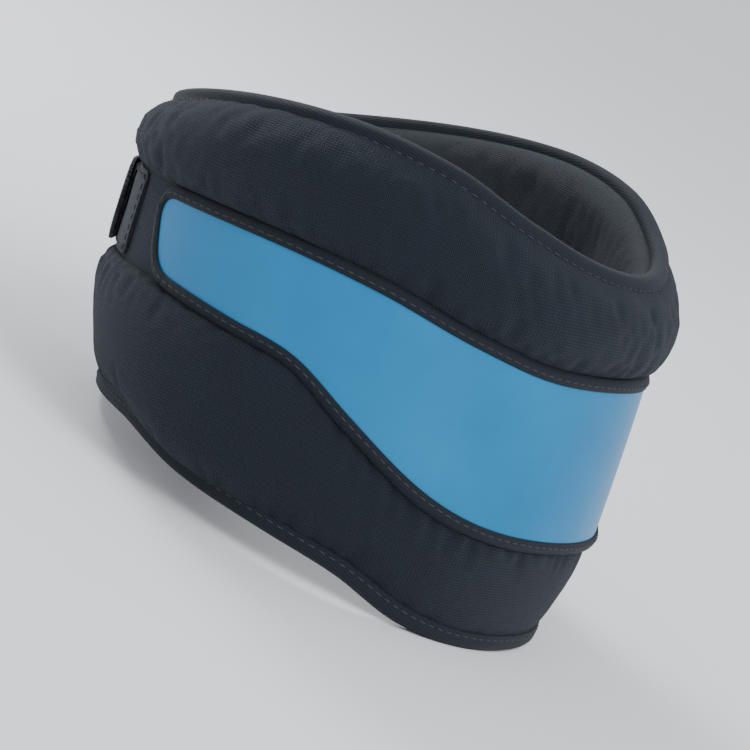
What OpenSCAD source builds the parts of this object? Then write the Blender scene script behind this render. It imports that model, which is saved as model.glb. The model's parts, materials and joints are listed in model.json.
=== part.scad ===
// Contoured cervical collar with a stiff front splint and a hook-and-loop rear closure.
// The padded body is bent into a ring. Every piece is drawn about the ring's own axis,
// with the chin to -Y, and stance() then leans the ring back until it stands on its lower rim.

/* [Neck fit] */
// Radius of the neck opening when the collar is closed
neck_r = 66; // [60:1:72]
// Padded wall's thickness at the rolls
wall_t = 18; // [16:1:22]

/* [Body heights] */
// Height of the upper rim at the chin
chin_h = 113; // [108:1:118]
// Height of the upper rim at the jaw, its highest place
jaw_h = 134; // [128:1:140]
// Height of the upper rim at the nape
nape_h = 116; // [110:1:124]
// Rise of the lower rim from the breastbone to the back
back_rise = 29; // [20:1:34]

/* [Splint] */
// Splint sheet's thickness
splint_t = 1.6; // [1.2:0.1:2]
// Height of the splint that shows at the chin
splint_front_h = 46; // [42:1:50]
// Height of the splint that shows at its rear ends
splint_end_h = 20; // [18:1:24]

/* [Closure] */
// Width of the hook-and-loop strap
strap_w = 25; // [20:1:26]
// How far past the middle of the back the strap's free end reaches, in degrees
strap_reach = 33; // [28:1:36]
// Angle from the chin to the flex lines where the rear wings bend
flex_angle = 131; // [130:0.5:134]

/* [Hidden] */
$fn = 120;

// Layers of the wall, from the neck outward
lining_t = 1.2;
cover_t = 1.2;
lining_r = neck_r + lining_t;
roll_r = neck_r + wall_t;
core_r = roll_r - cover_t;
channel_r = roll_r - 4.8;
splint_r = channel_r + splint_t;
tape_t = 1;
tape_r = splint_r + tape_t;

// Edge binding: a narrow bead of tape along each rim and each rear end
bead_h = 4;
bead_in = neck_r + 4;
bead_out = roll_r - 6;
end_gap = 1.5;
// Height that parts the upper rim from the lower one
rim_split = 60;

// Heights of the rims and of the splint's edges, as [place, height]. A place runs from
// -1 at the chin, through 0 at the side, to 1 at the nape.
rim_top = [
    [-1.1, chin_h - 3], [-0.92, chin_h - 1], [-0.7, chin_h + 8], [-0.45, jaw_h - 3.5],
    [-0.1, jaw_h], [0.4, jaw_h - 5], [1.1, nape_h - 3]
];
rim_bottom = [
    [-1.1, -1.5], [-0.86, -2.5], [-0.7, 1.5], [-0.5, 10.5], [-0.25, 16.5],
    [0.1, back_rise - 6], [0.45, back_rise + 1.5], [1.1, back_rise]
];
splint_mid = 80;
splint_back = splint_mid + 15;
splint_top = [
    [-1.1, splint_mid + 1.5], [-0.9, splint_mid], [-0.72, splint_mid + 4],
    [-0.4, splint_back - 3.5], [0, splint_back], [0.7, splint_back]
];
splint_low = splint_mid - splint_front_h;
splint_end = splint_back - splint_end_h;
splint_bottom = [
    [-1.1, splint_low], [-0.88, splint_low + 0.7], [-0.7, splint_low + 6.5],
    [-0.42, splint_low + 22], [-0.2, splint_end - 8], [0.05, splint_end - 4.5],
    [0.7, splint_end + 2]
];
// Where the splint's slanted rear edge meets its upper and lower edges, and its corners' size
splint_end_top = 0.52 * roll_r;
splint_end_low = 0.44 * roll_r;
splint_corner = 6;

// Offsets from the edge of the splint that shows
seam_m = 1.6;
splint_m = 3;
tape_m = 4.5;

// Closure: the strap follows the splint's rear end round the back. The left wing carries
// the strap, and the right wing carries the loop patch.
strap_z = splint_back - splint_end_h / 2;
lane_clear = 1;
patch_t = 1.2;
hook_t = 1;
web_t = 1.4;
run_gap = 0.3;
hook_in = channel_r + patch_t + run_gap;
web_in = hook_in + hook_t;
anchor_in = web_in - run_gap;
anchor_from = 150;
anchor_to = 171;
web_from = anchor_to + 0.4;
web_to = 180 + strap_reach;
patch_from = 184;
patch_to = 225;
thread_t = 0.3;
thread_w = 0.8;

// Care label on the left wing's lining
label_t = 0.5;
label_z = 58;
label_h = 22;
label_from = 151;
label_to = 169;

// Facets of the rims
ring_step = 5;
flex_kerf = 0.5;
big = 400;

// Lean that brings the lower rim's two front corners and its nape end to one level
rest_angle = 27;
rest_y = -bead_out * cos(rest_angle);
lean = atan((curve_at(rim_bottom, bead_out / roll_r) - curve_at(rim_bottom, rest_y / roll_r))
    / (bead_out - rest_y));
floor_drop = min([for (a = [0 : 1 : 180])
    let (y = -bead_out * cos(a)) leant_z(y, curve_at(rim_bottom, y / roll_r))]);
front_y = -roll_r * cos(lean) + (curve_at(rim_bottom, -1) + bead_h) * sin(lean);
back_y = roll_r * cos(lean) + (curve_at(rim_top, 1) - bead_h) * sin(lean);

function leant_z(y, z) = z * cos(lean) - y * sin(lean);

// Smooth curve through [place, height] points
function tangent_at(p, i) =
    let (a = max(i - 1, 0), b = min(i + 1, len(p) - 1))
    (p[b][1] - p[a][1]) / (p[b][0] - p[a][0]);
function span_at(p, t, i = 0) = (i >= len(p) - 2 || t < p[i + 1][0]) ? i : span_at(p, t, i + 1);
function curve_at(p, t) =
    let (i = span_at(p, t), w = p[i + 1][0] - p[i][0], s = (t - p[i][0]) / w)
    (2 * pow(s, 3) - 3 * pow(s, 2) + 1) * p[i][1]
    + (pow(s, 3) - 2 * pow(s, 2) + s) * w * tangent_at(p, i)
    + (3 * pow(s, 2) - 2 * pow(s, 3)) * p[i + 1][1]
    + (pow(s, 3) - pow(s, 2)) * w * tangent_at(p, i + 1);
function side_point(p, y) = [y, curve_at(p, y / roll_r)];

// Side outline of the body, with both rims drawn in by inset
function rim_outline(inset) =
    let (ys = [for (a = [0 : ring_step : 180]) -(roll_r + 4) * cos(a)])
    concat(
        [for (y = ys) side_point(rim_top, y) - [0, inset]],
        [for (i = [len(ys) - 1 : -1 : 0]) side_point(rim_bottom, ys[i]) + [0, inset]]
    );

// Side outline of the splint that shows, moved outward by m
function corner(a, b, c) = [for (s = [0 : 0.25 : 1])
    pow(1 - s, 2) * a + 2 * s * (1 - s) * b + pow(s, 2) * c];
function toward(a, b, d) = a + d * (b - a) / norm(b - a);
function splint_edge(p, y_end, last) =
    [for (a = [0 : ring_step : 180]) let (y = -(roll_r + 4) * cos(a))
        if (y < y_end - last) side_point(p, y)];
function splint_shape() =
    let (
        upper = side_point(splint_top, splint_end_top),
        lower = side_point(splint_bottom, splint_end_low),
        upper_in = side_point(splint_top, splint_end_top - splint_corner),
        lower_in = side_point(splint_bottom, splint_end_low - splint_corner),
        low = splint_edge(splint_bottom, splint_end_low, splint_corner + 2)
    )
    concat(
        splint_edge(splint_top, splint_end_top, splint_corner + 2),
        corner(upper_in, upper, toward(upper, lower, splint_corner)),
        corner(toward(lower, upper, splint_corner), lower, lower_in),
        [for (i = [len(low) - 1 : -1 : 0]) low[i]]
    );
function grown(p, m) = [for (i = [0 : len(p) - 1])
    let (
        before = p[max(i - 1, 0)],
        after = p[min(i + 1, len(p) - 1)],
        along = (after - before) / norm(after - before)
    )
    p[i] + m * [-along[1], along[0]]];

// Building blocks, all about the ring's axis
module side_prism(points) {
    rotate([90, 0, 90]) linear_extrude(height = big, center = true) polygon(points);
}

module tube_wall(inner, outer) {
    translate([0, 0, -20]) difference() {
        cylinder(r = outer, h = 200);
        translate([0, 0, -1]) cylinder(r = inner, h = 202);
    }
}

module body_wall(inner, outer, inset) {
    intersection() {
        tube_wall(inner, outer);
        side_prism(rim_outline(inset));
    }
}

// Angles run from the chin at 0, round the left side at 90, to the back at 180
function at_angle(r, a) = [r * sin(a), -r * cos(a)];

module sector(from, to) {
    translate([0, 0, -big / 2]) linear_extrude(height = big)
        polygon(concat([[0, 0]], [for (s = [0 : 3]) at_angle(big, from + s * (to - from) / 3)]));
}

module rear_wedge(shift) {
    translate([0, shift, -big / 2]) linear_extrude(height = big)
        polygon([[0, 0], at_angle(big, flex_angle), at_angle(big, -flex_angle)]);
}

module height_band(middle, width) {
    translate([-big / 2, -big / 2, middle - width / 2]) cube([big, big, width]);
}

// Keeps the part of a ring that belongs to one body: front, left or right
module section(place, end_x) {
    if (place == "front") {
        difference() {
            children();
            rear_wedge(0);
        }
    } else {
        intersection() {
            children();
            rear_wedge(flex_kerf);
            translate([place == "left" ? end_x : -end_x - big, -big / 2, -big / 2]) cube(big);
        }
    }
}

module band_arc(inner, outer, middle, width, from, to) {
    intersection() {
        tube_wall(inner, outer);
        height_band(middle, width);
        sector(from, to);
    }
}

// The strap's lane round the back. It is shallower on the left wing, under the strap's root.
module lane_cut(place, depth) {
    floor_r = place == "left" ? anchor_in : channel_r;
    band_arc(floor_r - depth, roll_r + 5, strap_z, strap_w + 2 * (lane_clear + depth),
        place == "left" ? flex_angle - 10 : 170, place == "left" ? 190 : 370 - flex_angle);
}

module channel_cut(depth) {
    intersection() {
        tube_wall(channel_r - depth, roll_r + 5);
        side_prism(grown(splint_shape(), tape_m + depth));
    }
}

module recess_cut(place, depth) {
    if (place == "front") channel_cut(depth);
    else lane_cut(place, depth);
}

module core_shape(place) {
    section(place, end_gap + bead_h + cover_t) difference() {
        body_wall(lining_r, core_r, bead_h + cover_t);
        recess_cut(place, cover_t);
    }
}

// Sub-parts
module foam_core(place) {
    color("gainsboro") core_shape(place);
}

module outer_cover(place) {
    color([0.09, 0.1, 0.12]) difference() {
        section(place, end_gap + bead_h) difference() {
            body_wall(lining_r, roll_r, bead_h);
            recess_cut(place, 0);
        }
        core_shape(place);
    }
}

module lining(place) {
    color([0.16, 0.17, 0.19]) difference() {
        section(place, end_gap + bead_h) body_wall(neck_r, lining_r, bead_h);
        if (place == "left") label_block(-1);
    }
}

module top_binding(place) {
    color([0.05, 0.05, 0.06]) section(place, end_gap + bead_h) difference() {
        body_wall(bead_in, bead_out, 0);
        side_prism(rim_outline(bead_h));
        height_band(0, 2 * rim_split);
    }
}

module bottom_binding(place) {
    color([0.05, 0.05, 0.06]) section(place, end_gap + bead_h) difference() {
        body_wall(bead_in, bead_out, 0);
        side_prism(rim_outline(bead_h));
        height_band(rim_split + big / 2, big);
    }
}

module end_binding(place) {
    color([0.05, 0.05, 0.06]) intersection() {
        body_wall(bead_in, bead_out, 0);
        translate([place == "left" ? end_gap : -end_gap - bead_h, 0, -20]) cube([bead_h, big, 200]);
    }
}

module splint() {
    color([0.29, 0.6, 0.78]) intersection() {
        tube_wall(channel_r, splint_r);
        side_prism(grown(splint_shape(), splint_m));
    }
}

module splint_binding() {
    color([0.05, 0.05, 0.06]) difference() {
        intersection() {
            tube_wall(channel_r, tape_r);
            side_prism(grown(splint_shape(), tape_m));
        }
        intersection() {
            tube_wall(channel_r - 1, splint_r);
            side_prism(grown(splint_shape(), splint_m));
        }
        side_prism(splint_shape());
    }
}

module splint_seam() {
    color([0.12, 0.12, 0.14]) difference() {
        intersection() {
            tube_wall(tape_r, tape_r + thread_t);
            side_prism(grown(splint_shape(), seam_m + thread_w / 2));
        }
        side_prism(grown(splint_shape(), seam_m - thread_w / 2));
    }
}

// Rectangle of thread on a band, margin in from the band's edges
module seam_frame(inner, middle, width, from, to, margin) {
    swing = margin / inner * 180 / PI;
    cut = thread_w / inner * 180 / PI;
    difference() {
        band_arc(inner, inner + thread_t, middle, width - 2 * margin, from + swing, to - swing);
        band_arc(inner - 1, inner + 2, middle, width - 2 * margin - 2 * thread_w,
            from + swing + cut, to - swing - cut);
    }
}

module strap_anchor() {
    color([0.07, 0.07, 0.08])
        band_arc(anchor_in, anchor_in + web_t, strap_z, strap_w, anchor_from, anchor_to);
}

module strap_anchor_seam() {
    color([0.12, 0.12, 0.14])
        seam_frame(anchor_in + web_t, strap_z, strap_w, anchor_from, anchor_to, 2.5);
}

// Band with a half-round free end at the angle to
function tongue_outline(width) = concat(
    [[-big / 4, -width / 2]],
    [for (a = [-90 : 15 : 90]) width / 2 * [cos(a), sin(a)]],
    [[-big / 4, width / 2]]
);

module tongue(inner, outer, width, from, to) {
    round_a = to - width / 2 / inner * 180 / PI;
    intersection() {
        tube_wall(inner, outer);
        sector(from, to + 5);
        translate([0, 0, strap_z]) rotate([90, 0, round_a]) linear_extrude(height = big / 4)
            polygon(tongue_outline(width));
    }
}

module strap_web() {
    color([0.07, 0.07, 0.08]) tongue(web_in, web_in + web_t, strap_w, web_from, web_to);
}

module hook_patch() {
    color([0.1, 0.1, 0.11])
        tongue(hook_in, web_in, strap_w - 3, patch_from, web_to - 1);
}

module hook_seam() {
    color([0.12, 0.12, 0.14])
        seam_frame(web_in + web_t, strap_z, strap_w, patch_from, web_to - 8, 3);
}

module loop_patch() {
    color([0.14, 0.14, 0.15])
        band_arc(channel_r, channel_r + patch_t, strap_z, strap_w, patch_from, patch_to);
}

module loop_seam() {
    color([0.12, 0.12, 0.14]) difference() {
        seam_frame(channel_r + patch_t, strap_z, strap_w, patch_from, patch_to, 1.5);
        sector(178, web_to + 1);
    }
}

module label_block(inset) {
    band_arc(neck_r + min(inset, 0), neck_r + label_t, label_z, label_h, label_from, label_to);
}

module care_label() {
    color("whitesmoke") label_block(0);
}

// Stands the ring on its lower rim, with the origin under the middle of its box
module stance() {
    translate([0, -(front_y + back_y) / 2, -floor_drop]) rotate([-lean, 0, 0]) children();
}

for (place = ["front", "left", "right"]) {
    stance() foam_core(place);
    stance() outer_cover(place);
    stance() lining(place);
    stance() top_binding(place);
    stance() bottom_binding(place);
}
stance() end_binding("left");  // end_binding_left
stance() end_binding("right");  // end_binding_right
stance() splint();
stance() splint_binding();
stance() splint_seam();
stance() strap_anchor();
stance() strap_anchor_seam();
stance() strap_web();
stance() hook_patch();
stance() hook_seam();
stance() loop_patch();
stance() loop_seam();
stance() care_label();
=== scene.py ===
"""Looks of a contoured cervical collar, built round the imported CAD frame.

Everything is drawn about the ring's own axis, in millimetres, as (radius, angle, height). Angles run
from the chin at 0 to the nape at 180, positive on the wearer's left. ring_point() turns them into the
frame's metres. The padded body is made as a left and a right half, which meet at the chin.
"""

import json
import math

import bmesh
import bpy
import numpy as np
from mathutils import Matrix, Vector

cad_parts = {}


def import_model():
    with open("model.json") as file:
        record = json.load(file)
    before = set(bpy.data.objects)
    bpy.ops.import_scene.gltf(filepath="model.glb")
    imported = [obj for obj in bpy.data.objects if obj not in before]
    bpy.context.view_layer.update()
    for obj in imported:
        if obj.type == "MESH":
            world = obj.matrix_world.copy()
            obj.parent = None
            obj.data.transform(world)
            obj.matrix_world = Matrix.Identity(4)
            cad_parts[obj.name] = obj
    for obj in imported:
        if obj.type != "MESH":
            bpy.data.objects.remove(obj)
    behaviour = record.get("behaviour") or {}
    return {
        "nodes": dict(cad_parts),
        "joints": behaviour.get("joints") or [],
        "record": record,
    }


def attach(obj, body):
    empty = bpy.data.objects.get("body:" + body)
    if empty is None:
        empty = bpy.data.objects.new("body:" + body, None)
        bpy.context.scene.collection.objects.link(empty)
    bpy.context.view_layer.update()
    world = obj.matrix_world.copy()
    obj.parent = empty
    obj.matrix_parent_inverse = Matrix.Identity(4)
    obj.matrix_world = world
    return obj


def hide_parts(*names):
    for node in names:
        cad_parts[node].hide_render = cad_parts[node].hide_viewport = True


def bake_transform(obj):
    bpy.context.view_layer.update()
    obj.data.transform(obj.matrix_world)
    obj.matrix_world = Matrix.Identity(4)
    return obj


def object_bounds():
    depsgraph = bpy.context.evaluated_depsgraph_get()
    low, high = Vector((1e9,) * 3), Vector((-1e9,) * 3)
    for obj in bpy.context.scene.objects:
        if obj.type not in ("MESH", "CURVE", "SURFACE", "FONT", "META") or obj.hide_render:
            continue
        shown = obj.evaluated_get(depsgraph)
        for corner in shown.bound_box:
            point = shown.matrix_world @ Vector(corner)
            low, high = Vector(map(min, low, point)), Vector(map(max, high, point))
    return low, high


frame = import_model()
cad_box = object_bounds()

MM = 0.001
SIDES = {"left": 1, "right": -1}


# -------- ring's own frame

neck = frame["record"]["mounts"][0]
joints = {j["name"]: j for j in frame["joints"]}
NECK_MOUNT_Z = 66.0
NECK_R = neck["dims"]["r_mm"]
AXIS = np.array(neck["axis"]) / np.linalg.norm(neck["axis"])
ACROSS = np.array([1.0, 0.0, 0.0])
BACK = np.cross(AXIS, ACROSS)
ORIGIN = np.array(neck["pos_m"]) - AXIS * NECK_MOUNT_Z * MM


def ring_point(r, psi, z):
    """Points in the frame's metres from radius, angle and height about the ring's axis."""
    r, psi, z = np.broadcast_arrays(*(np.asarray(a, float) for a in (r, psi, z)))
    a = np.radians(psi)
    flat = (r * np.sin(a))[..., None] * ACROSS - (r * np.cos(a))[..., None] * BACK
    return ORIGIN + MM * (flat + z[..., None] * AXIS)


def ring_coords(points):
    """Radius, angle from 0 to 360 and height of points given in the frame's metres."""
    d = (np.asarray(points, float) - ORIGIN) / MM
    x, y, z = d @ ACROSS, d @ BACK, d @ AXIS
    return np.hypot(x, y), np.degrees(np.arctan2(x, -y)) % 360, z


def ring_box(node):
    """Lowest and highest radius, angle and height of a CAD node."""
    co = [v.co for v in frame["nodes"][node].data.vertices]
    return [(float(a.min()), float(a.max())) for a in ring_coords(co)]


ROLL_R, FLEX, _ = (float(a) for a in ring_coords(joints["left_wing_flex"]["pos_m"]))
(SHEET_IN, SHEET_OUT), _, _ = ring_box("splint")
(BEAD_IN, BEAD_OUT), _, _ = ring_box("top_binding_front")
(ROOT_IN, ROOT_OUT), (ROOT_FROM, ROOT_TO), (LANE_LOW, LANE_HIGH) = ring_box("strap_anchor")
SEAM_R = (BEAD_IN + BEAD_OUT) / 2
LABEL_BOX = ring_box("care_label")
LINING_T = 1.2
COVER_T = 1.1

# Heights of the rims and of the splint's edges, as in the CAD source: [place, height], where a place
# runs from -1 at the chin, through 0 at the side, to 1 at the nape.
RIM_TOP = [[-1.1, 110], [-0.92, 112], [-0.7, 121], [-0.45, 130.5], [-0.1, 134], [0.4, 129], [1.1, 113]]
RIM_BOTTOM = [[-1.1, -1.5], [-0.86, -2.5], [-0.7, 1.5], [-0.5, 10.5], [-0.25, 16.5], [0.1, 23],
              [0.45, 30.5], [1.1, 29]]
SPLINT_TOP = [[-1.1, 81.5], [-0.9, 80], [-0.72, 84], [-0.4, 91.5], [0, 95], [0.7, 95]]
SPLINT_BOTTOM = [[-1.1, 34], [-0.88, 34.7], [-0.7, 40.5], [-0.42, 56], [-0.2, 67], [0.05, 70.5],
                 [0.7, 77]]
SPLINT_END_TOP = 0.52
SPLINT_END_LOW = 0.44
SPLINT_END_TALL = 20.0
SPLINT_CORNER = 6.0
TAPE_W = 3.6


def through(x, y, at):
    """Smooth curve through the points (x, y), read at the places at. y may have more dimensions."""
    x, y, at = (np.asarray(a, float) for a in (x, y, at))
    after, before = np.minimum(np.arange(len(x)) + 1, len(x) - 1), np.maximum(np.arange(len(x)) - 1, 0)
    more = (1,) * (y.ndim - 1)
    slope = (y[after] - y[before]) / (x[after] - x[before]).reshape(-1, *more)
    i = np.clip(np.searchsorted(x, at, side="right") - 1, 0, len(x) - 2)
    w = (x[i + 1] - x[i]).reshape(at.shape + more)
    s = ((at - x[i]).reshape(at.shape + more)) / w
    return (
        (2 * s**3 - 3 * s**2 + 1) * y[i]
        + (s**3 - 2 * s**2 + s) * w * slope[i]
        + (3 * s**2 - 2 * s**3) * y[i + 1]
        + (s**3 - s**2) * w * slope[i + 1]
    )


def curve(table, place):
    """Height on one of the tables above."""
    table = np.array(table, float)
    return through(table[:, 0], table[:, 1], place)


def height(table, psi, r):
    """Height of a rim or splint edge at an angle, at the radius where it is cut."""
    return curve(table, -np.cos(np.radians(psi)) * r / ROLL_R)


def smoothstep(x, low, high):
    """0 up to low, 1 from high on, and a smooth rise between them."""
    t = np.clip((np.asarray(x, float) - low) / (high - low), 0, 1)
    return t * t * (3 - 2 * t)


def corner_inset(away, radius):
    """How far a rounded corner draws an edge in, at a distance from the corner's outer end."""
    d = radius - np.minimum(away, radius)
    return radius - np.sqrt(np.maximum(radius**2 - d**2, 0))


# -------- mesh helpers

SHARP_ANGLE = math.radians(65)


def make_object(name, points, faces, material, uv):
    """Smooth object from points in metres. uv is one pair in metres for each point."""
    mesh = bpy.data.meshes.new(name)
    mesh.from_pydata([tuple(p) for p in points], [], faces)
    bm = bmesh.new()
    bm.from_mesh(mesh)
    bmesh.ops.recalc_face_normals(bm, faces=bm.faces)
    for edge in bm.edges:
        edge.smooth = len(edge.link_faces) != 2 or edge.calc_face_angle() < SHARP_ANGLE
    bm.to_mesh(mesh)
    bm.free()
    layer = mesh.uv_layers.new(name="weave")
    index = np.zeros(len(mesh.loops), np.int32)
    mesh.loops.foreach_get("vertex_index", index)
    layer.data.foreach_set("uv", np.asarray(uv, np.float32)[index].ravel())
    mesh.polygons.foreach_set("use_smooth", [True] * len(mesh.polygons))
    mesh.materials.append(material)
    mesh.update()
    obj = bpy.data.objects.new(name, mesh)
    bpy.context.scene.collection.objects.link(obj)
    return obj


def grid_faces(n, m, start=0, closed=False):
    """Quads of an n by m grid of points, whose rows of m follow each other."""
    return [
        (start + i * m + j, start + i * m + (j + 1) % m,
         start + (i + 1) * m + (j + 1) % m, start + (i + 1) * m + j)
        for i in range(n - 1)
        for j in range(m if closed else m - 1)
    ]


def border(n, m):
    """Indices round the edge of an n by m grid."""
    i = np.arange(n * m).reshape(n, m)
    return np.concatenate([i[0], i[1:, -1], i[-1, -2::-1], i[-2:0:-1, 0]]).tolist()


def lengths(path):
    """Distance along a path at each of its points."""
    return np.concatenate([[0], np.cumsum(np.linalg.norm(np.diff(path, axis=0), axis=1))])


def shell(name, outer, inner, uv, material):
    """Closed sheet between two grids of points."""
    n, m = outer.shape[:2]
    edge = border(n, m)
    k = n * m
    faces = grid_faces(n, m) + grid_faces(n, m, k)
    faces += [(a, b, k + b, k + a) for a, b in zip(edge, edge[1:] + edge[:1])]
    points = np.concatenate([outer.reshape(-1, 3), inner.reshape(-1, 3)])
    return make_object(name, points, faces, material, np.concatenate([uv.reshape(-1, 2)] * 2))


def grid_normals(points):
    """Unit normals of a grid of points, away from the ring's axis."""
    du = np.gradient(points, axis=0)
    dv = np.gradient(points, axis=1)
    n = np.cross(du, dv)
    n /= np.maximum(np.linalg.norm(n, axis=-1, keepdims=True), 1e-12)
    middle = points - ORIGIN
    middle = middle - (middle @ AXIS)[..., None] * AXIS
    sign = np.sign(np.sum((n * middle).sum(-1)))
    return n * sign


def sweep(name, path, side, out, section, material):
    """Sweeps a closed section, as (side, out) pairs in mm, along an open path in metres."""
    section = np.array(section, float) * MM
    n, k = len(path), len(section)
    rings = (
        path[:, None] + section[None, :, 0, None] * side[:, None]
        + section[None, :, 1, None] * out[:, None]
    )
    faces = grid_faces(n, k, closed=True)
    faces += [tuple(range(k)), tuple((n - 1) * k + j for j in range(k))]
    uv = np.stack(np.broadcast_arrays(lengths(path)[:, None], lengths(section)[None]), -1)
    return make_object(name, rings.reshape(-1, 3), faces, material, uv.reshape(-1, 2))


STITCH_LONG = 2.3
STITCH_THICK = 0.45


def stitches(name, centres, along, out):
    """One short thread lying on a surface at each centre, all in one mesh."""
    # places along a stitch from -1 to 1, and its share of the full thickness there
    around, rings = 6, [(-1, 0.25), (-0.8, 0.75), (-0.3, 1), (0.3, 1), (0.8, 0.75), (1, 0.25)]
    points, faces = [], []
    for c, a, o in zip(centres, along, out):
        a = a / np.linalg.norm(a)
        o = o - (o @ a) * a
        o /= np.linalg.norm(o)
        b = np.cross(a, o)
        start = len(points)
        for place, width in rings:
            lift = STITCH_THICK * (0.35 - 0.55 * place**2)
            for q in range(around):
                t = 2 * math.pi * q / around
                points.append(
                    c + MM * (
                        a * place * STITCH_LONG / 2
                        + o * (lift + STITCH_THICK / 2 * width * math.cos(t))
                        + b * STITCH_THICK / 2 * width * math.sin(t) * 1.2
                    )
                )
        faces += grid_faces(len(rings), around, start, closed=True)
        faces.append(tuple(range(start, start + around)))
        faces.append(tuple(range(len(points) - around, len(points))))
    return make_object(name, points, faces, THREAD, np.zeros((len(points), 2)))


def spaced(path, step):
    """Points every step mm along a path in metres, with the direction there."""
    length = lengths(path)
    count = max(int(length[-1] / (step * MM)), 1)
    at = (np.arange(count) + 0.5) / count * length[-1]
    here, ahead, behind = (
        np.stack([np.interp(at + ahead_by * MM, length, path[:, k]) for k in range(3)], -1)
        for ahead_by in (0, 0.3, -0.3)
    )
    return here, ahead - behind


# -------- materials

def add(tree, kind, inputs=None, **settings):
    """Adds a node, sets what is given, and links any input that is an output socket."""
    node = tree.nodes.new(kind)
    for key, value in settings.items():
        setattr(node, key, value)
    for key, value in (inputs or {}).items():
        if isinstance(value, bpy.types.NodeSocket):
            tree.links.new(value, node.inputs[key])
        else:
            node.inputs[key].default_value = value
    return node


def calc(tree, operation, *values):
    """Result of a Math node."""
    return add(tree, "ShaderNodeMath", dict(enumerate(values)), operation=operation).outputs[0]


def blank(name, **shader):
    """New material with constant values on its shader. Returns the material, its tree and the shader."""
    material = bpy.data.materials.new(name)
    material.use_nodes = True
    tree = material.node_tree
    bsdf = tree.nodes["Principled BSDF"]
    for key, value in shader.items():
        bsdf.inputs[key.replace("_", " ")].default_value = value
    return material, tree, bsdf


def weave_uv(tree):
    """The piece's own flat coordinates, in millimetres, as two sockets."""
    uv = add(tree, "ShaderNodeUVMap", uv_map="weave")
    split = add(tree, "ShaderNodeSeparateXYZ", {"Vector": uv.outputs["UV"]})
    return uv.outputs["UV"], [calc(tree, "MULTIPLY", split.outputs[k], 1 / MM) for k in ("X", "Y")]


def noise(tree, vector, size, detail, rough=0.55):
    """Noise from 0 to 1 whose lumps are about size mm wide."""
    node = add(
        tree, "ShaderNodeTexNoise",
        {"Vector": vector, "Scale": 1 / (size * MM), "Detail": detail, "Roughness": rough},
    )
    return node.outputs["Fac"]


def ramp(tree, value, low, high, out_low=0.0, out_high=1.0):
    """Value carried from low..high to out_low..out_high, and held at both ends."""
    return add(
        tree, "ShaderNodeMapRange",
        {"Value": value, "From Min": low, "From Max": high, "To Min": out_low, "To Max": out_high},
    ).outputs["Result"]


def mix_colour(tree, factor, a, b):
    """Mix of two colours. 0, 6, 7 and 2 are the Mix node's sockets for colours."""
    return add(tree, "ShaderNodeMix", {0: factor, 6: a, 7: b}, data_type="RGBA").outputs[2]


def bump(tree, bsdf, *layers):
    """Chains Bump nodes: each layer is (height, depth in mm, strength)."""
    before = None
    for level, depth, strength in layers:
        node = add(
            tree, "ShaderNodeBump", {"Height": level, "Distance": depth * MM, "Strength": strength}
        )
        if before:
            tree.links.new(before.outputs["Normal"], node.inputs["Normal"])
        before = node
    tree.links.new(before.outputs["Normal"], bsdf.inputs["Normal"])


def knit(wale, course):
    """Pattern of a plain knit, whose loops lie in columns of small V shapes. Sizes are in mm."""
    def level(tree, u, v):
        across = calc(tree, "FRACT", calc(tree, "DIVIDE", u, wale))
        leg = calc(tree, "ABSOLUTE", calc(tree, "SUBTRACT", across, 0.5))
        up = calc(tree, "ADD", calc(tree, "DIVIDE", v, course), calc(tree, "MULTIPLY", leg, 1.1))
        loops = calc(tree, "COSINE", calc(tree, "MULTIPLY", up, 2 * math.pi))
        loops = calc(tree, "MULTIPLY_ADD", loops, 0.5, 0.5)
        legs = calc(tree, "SINE", calc(tree, "MULTIPLY", leg, 2 * math.pi))
        return calc(tree, "MULTIPLY", calc(tree, "POWER", loops, 0.7), legs)

    return level


def twill(warp, weft):
    """Pattern of a tight narrow weave. Sizes are in mm."""
    def level(tree, u, v):
        a = calc(tree, "SINE", calc(tree, "MULTIPLY", u, 2 * math.pi / warp))
        b = calc(tree, "SINE", calc(tree, "MULTIPLY", calc(tree, "ADD", v, u), 2 * math.pi / weft))
        return calc(tree, "MULTIPLY_ADD", calc(tree, "MULTIPLY", a, b), 0.5, 0.5)

    return level


def pile(tree, u, v):
    """Pattern of a tangled pile."""
    metres = {"X": calc(tree, "MULTIPLY", u, MM), "Y": calc(tree, "MULTIPLY", v, MM)}
    return noise(tree, add(tree, "ShaderNodeCombineXYZ", metres).outputs[0], 0.7, 6, 0.75)


def fabric(name, dark, light, pattern, pattern_depth, sheen, rough, fuzz=0.25):
    """Cloth: two tones mixed by its pattern, a height from 0 to 1, and by wear, with a fine bump."""
    material, tree, bsdf = blank(
        name, Sheen_Weight=sheen, Sheen_Roughness=0.45, Sheen_Tint=(0.62, 0.68, 0.8, 1),
        Specular_IOR_Level=0.25,
    )
    uv, (u, v) = weave_uv(tree)
    level = pattern(tree, u, v)
    patches = noise(tree, uv, 14, 3)
    lint = noise(tree, uv, 0.9, 5, 0.7)
    shade = calc(tree, "MULTIPLY_ADD", level, 0.55, calc(tree, "MULTIPLY", patches, 0.5))
    shade = calc(tree, "MULTIPLY_ADD", ramp(tree, lint, 0.58, 0.75), fuzz, shade)
    colour = mix_colour(tree, ramp(tree, shade, 0.1, 1.0), (*dark, 1), (*light, 1))
    tree.links.new(colour, bsdf.inputs["Base Color"])
    tree.links.new(ramp(tree, patches, 0.3, 0.7, rough - 0.05, rough + 0.05), bsdf.inputs["Roughness"])
    bump(tree, bsdf, (patches, 0.5, 0.35), (level, pattern_depth, 0.9), (lint, 0.12, 0.5))
    return material


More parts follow.
